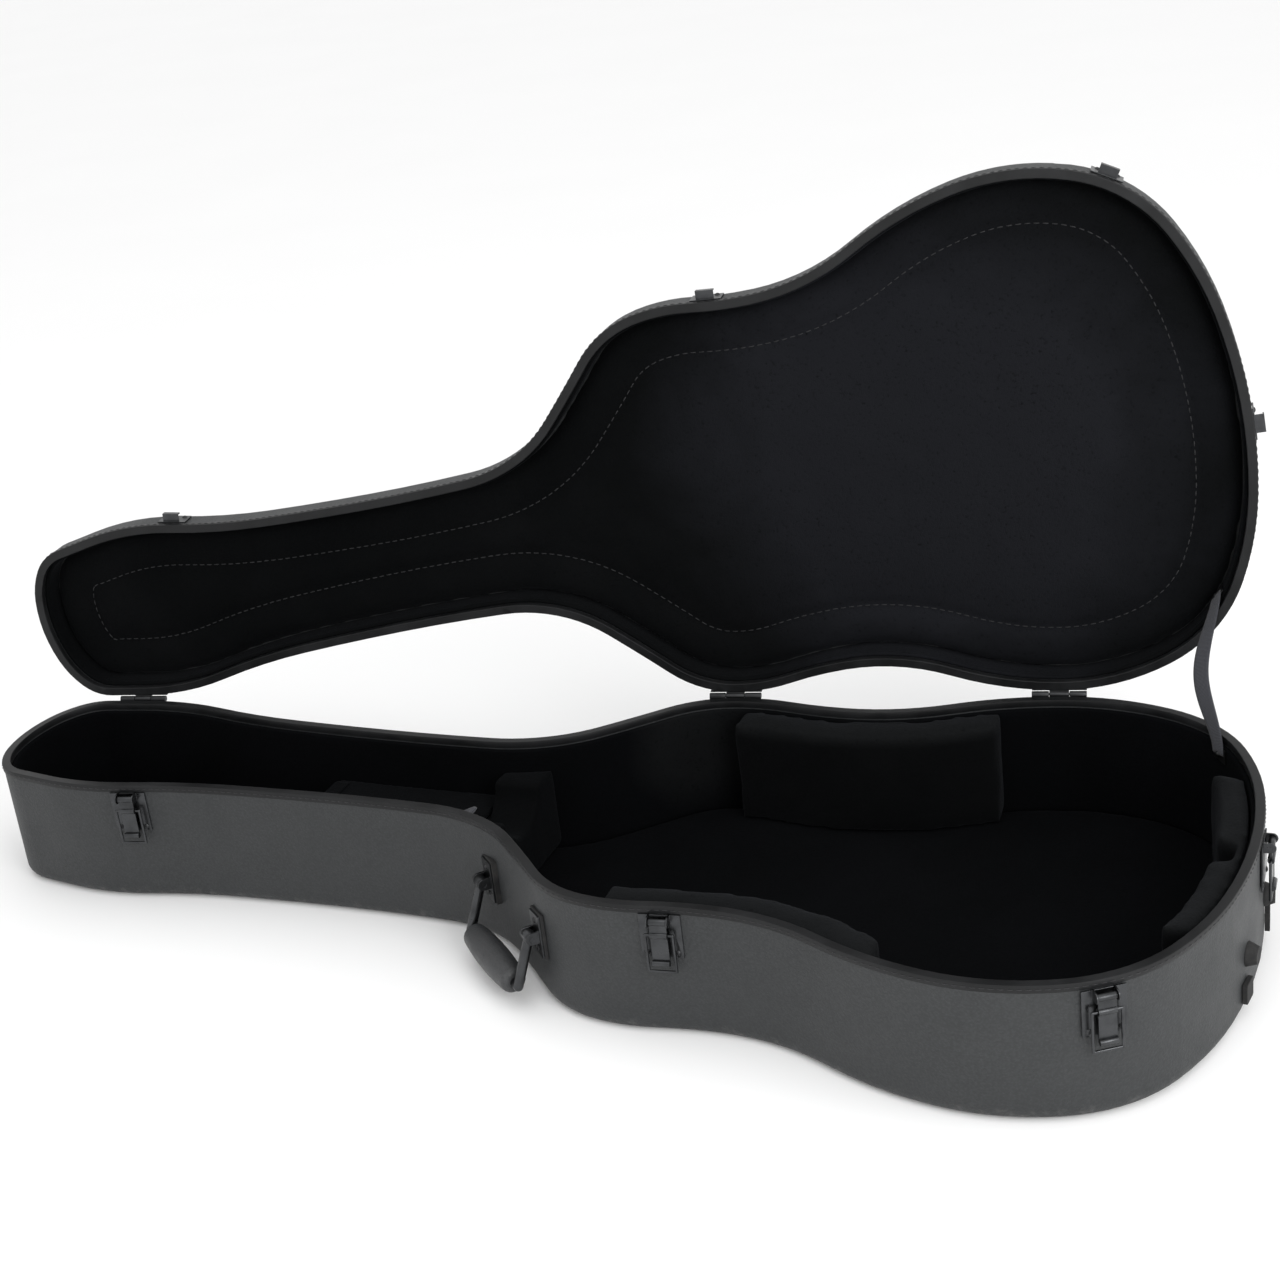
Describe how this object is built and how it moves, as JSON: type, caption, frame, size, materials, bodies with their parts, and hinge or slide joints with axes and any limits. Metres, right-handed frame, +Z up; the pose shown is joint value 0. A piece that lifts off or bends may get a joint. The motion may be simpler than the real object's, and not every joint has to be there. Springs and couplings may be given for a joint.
{
  "type": "guitar case",
  "caption": "Open hard-shell guitar case: shaped base with plush lining, neck cradle and accessory compartment, hinged lid on a stay strap, draw latches and a handle.",
  "frame": {"origin": "centre of the base's flat bottom face, under the middle of the guitar's axis", "axes": "+X along the hinge line towards the butt end, +Y towards the hinge side, +Z up"},
  "size_m": [1.0888, 0.4784, 0.5497],
  "materials": {
    "shell_vinyl": "textured vinyl over plywood, satin",
    "rim_binding": "satin vinyl binding",
    "plush_lining": "short-pile plush",
    "board": "plush-covered board",
    "hinge_steel": "satin black plate",
    "latch_steel": "black nickel plate",
    "rubber": "matt",
    "grip_vinyl": "moulded, leather grain",
    "strap_web": "flat woven tape"
  },
  "bodies": {
    "base": {"accessory_bin": "board", "base_floor_pad": "plush_lining", "base_rim_trim": "rim_binding", "base_rivets": "hinge_steel", "base_shell": "shell_vinyl", "base_wall_lining": "plush_lining", "bout_latch_plate": "latch_steel", "butt_feet": "rubber", "butt_glides": "rubber", "butt_hinge_base_leaf": "hinge_steel", "butt_latch_plate": "latch_steel", "handle_bracket_butt": "latch_steel", "handle_bracket_head": "latch_steel", "handle_pins": "latch_steel", "handle_rivets": "hinge_steel", "handle_seats": "rubber", "head_hinge_base_leaf": "hinge_steel", "head_latch_plate": "latch_steel", "head_pad": "plush_lining", "hinge_pins": "hinge_steel", "latch_pins": "latch_steel", "middle_hinge_base_leaf": "hinge_steel", "neck_cradle": "board", "spine_feet": "rubber", "stay_anchor_base": "hinge_steel", "stay_strap": "strap_web", "tail_pad": "plush_lining", "waist_latch_plate": "latch_steel", "waist_pad_back": "plush_lining", "waist_pad_front": "plush_lining"},
    "lid": {"bout_latch_keeper": "latch_steel", "butt_hinge_lid_leaf": "hinge_steel", "butt_latch_keeper": "latch_steel", "head_hinge_lid_leaf": "hinge_steel", "head_latch_keeper": "latch_steel", "lid_panel_pad": "plush_lining", "lid_rim_trim": "rim_binding", "lid_rivets": "hinge_steel", "lid_shell": "shell_vinyl", "lid_wall_lining": "plush_lining", "middle_hinge_lid_leaf": "hinge_steel", "stay_anchor_lid": "hinge_steel", "waist_latch_keeper": "latch_steel"},
    "accessory_door": {"accessory_door": "board", "accessory_pull_tab": "strap_web"},
    "handle": {"handle_core": "latch_steel", "handle_grip": "grip_vinyl"},
    "head_latch_lever": {"head_latch_lever": "latch_steel"},
    "head_latch_bail": {"head_latch_bail": "latch_steel"},
    "waist_latch_lever": {"waist_latch_lever": "latch_steel"},
    "waist_latch_bail": {"waist_latch_bail": "latch_steel"},
    "bout_latch_lever": {"bout_latch_lever": "latch_steel"},
    "bout_latch_bail": {"bout_latch_bail": "latch_steel"},
    "butt_latch_lever": {"butt_latch_lever": "latch_steel"},
    "butt_latch_bail": {"butt_latch_bail": "latch_steel"}
  },
  "joints": [
    {"name": "lid_hinge", "type": "hinge", "parent": "base", "child": "lid", "pos_m": [0, 0.15755, 0.111], "axis": [-1, 0, 0], "range_deg": [-90.5, 0], "deforming": ["stay_strap"]},
    {"name": "accessory_door_hinge", "type": "hinge", "parent": "base", "child": "accessory_door", "pos_m": [-0.24657, 0.04126, 0.0633], "axis": [-0.165, -0.9863, 0], "range_deg": [0, 95]},
    {"name": "head_latch_lever_pivot", "type": "hinge", "parent": "base", "child": "head_latch_lever", "pos_m": [-0.388, -0.01822, 0.101], "axis": [-0.9993, -0.0372, 0], "range_deg": [0, 110]},
    {"name": "head_latch_bail_pivot", "type": "hinge", "parent": "head_latch_lever", "child": "head_latch_bail", "pos_m": [-0.388, -0.01822, 0.09], "axis": [0.9993, 0.0372, 0], "range_deg": [-182.25, 0]},
    {"name": "waist_latch_lever_pivot", "type": "hinge", "parent": "base", "child": "waist_latch_lever", "pos_m": [0.11601, -0.19612, 0.101], "axis": [-0.999, 0.0452, 0], "range_deg": [0, 110]},
    {"name": "waist_latch_bail_pivot", "type": "hinge", "parent": "waist_latch_lever", "child": "waist_latch_bail", "pos_m": [0.11601, -0.19612, 0.09], "axis": [0.999, -0.0452, 0], "range_deg": [-182.25, 0]},
    {"name": "bout_latch_lever_pivot", "type": "hinge", "parent": "base", "child": "bout_latch_lever", "pos_m": [0.43619, -0.2751, 0.101], "axis": [-0.9157, -0.4019, 0], "range_deg": [0, 110]},
    {"name": "bout_latch_bail_pivot", "type": "hinge", "parent": "bout_latch_lever", "child": "bout_latch_bail", "pos_m": [0.43619, -0.2751, 0.09], "axis": [0.9157, 0.4019, 0], "range_deg": [-182.25, 0]},
    {"name": "butt_latch_lever_pivot", "type": "hinge", "parent": "base", "child": "butt_latch_lever", "pos_m": [0.54691, -0.07093, 0.101], "axis": [-0.1179, -0.993, 0], "range_deg": [0, 110]},
    {"name": "butt_latch_bail_pivot", "type": "hinge", "parent": "butt_latch_lever", "child": "butt_latch_bail", "pos_m": [0.54691, -0.07093, 0.09], "axis": [0.1179, 0.993, 0], "range_deg": [-182.25, 0]},
    {"name": "handle_swing", "type": "hinge", "parent": "base", "child": "handle", "pos_m": [-0.02753, -0.11758, 0.062], "axis": [-0.6162, 0.7876, 0], "range_deg": [0, 95]}
  ]
}
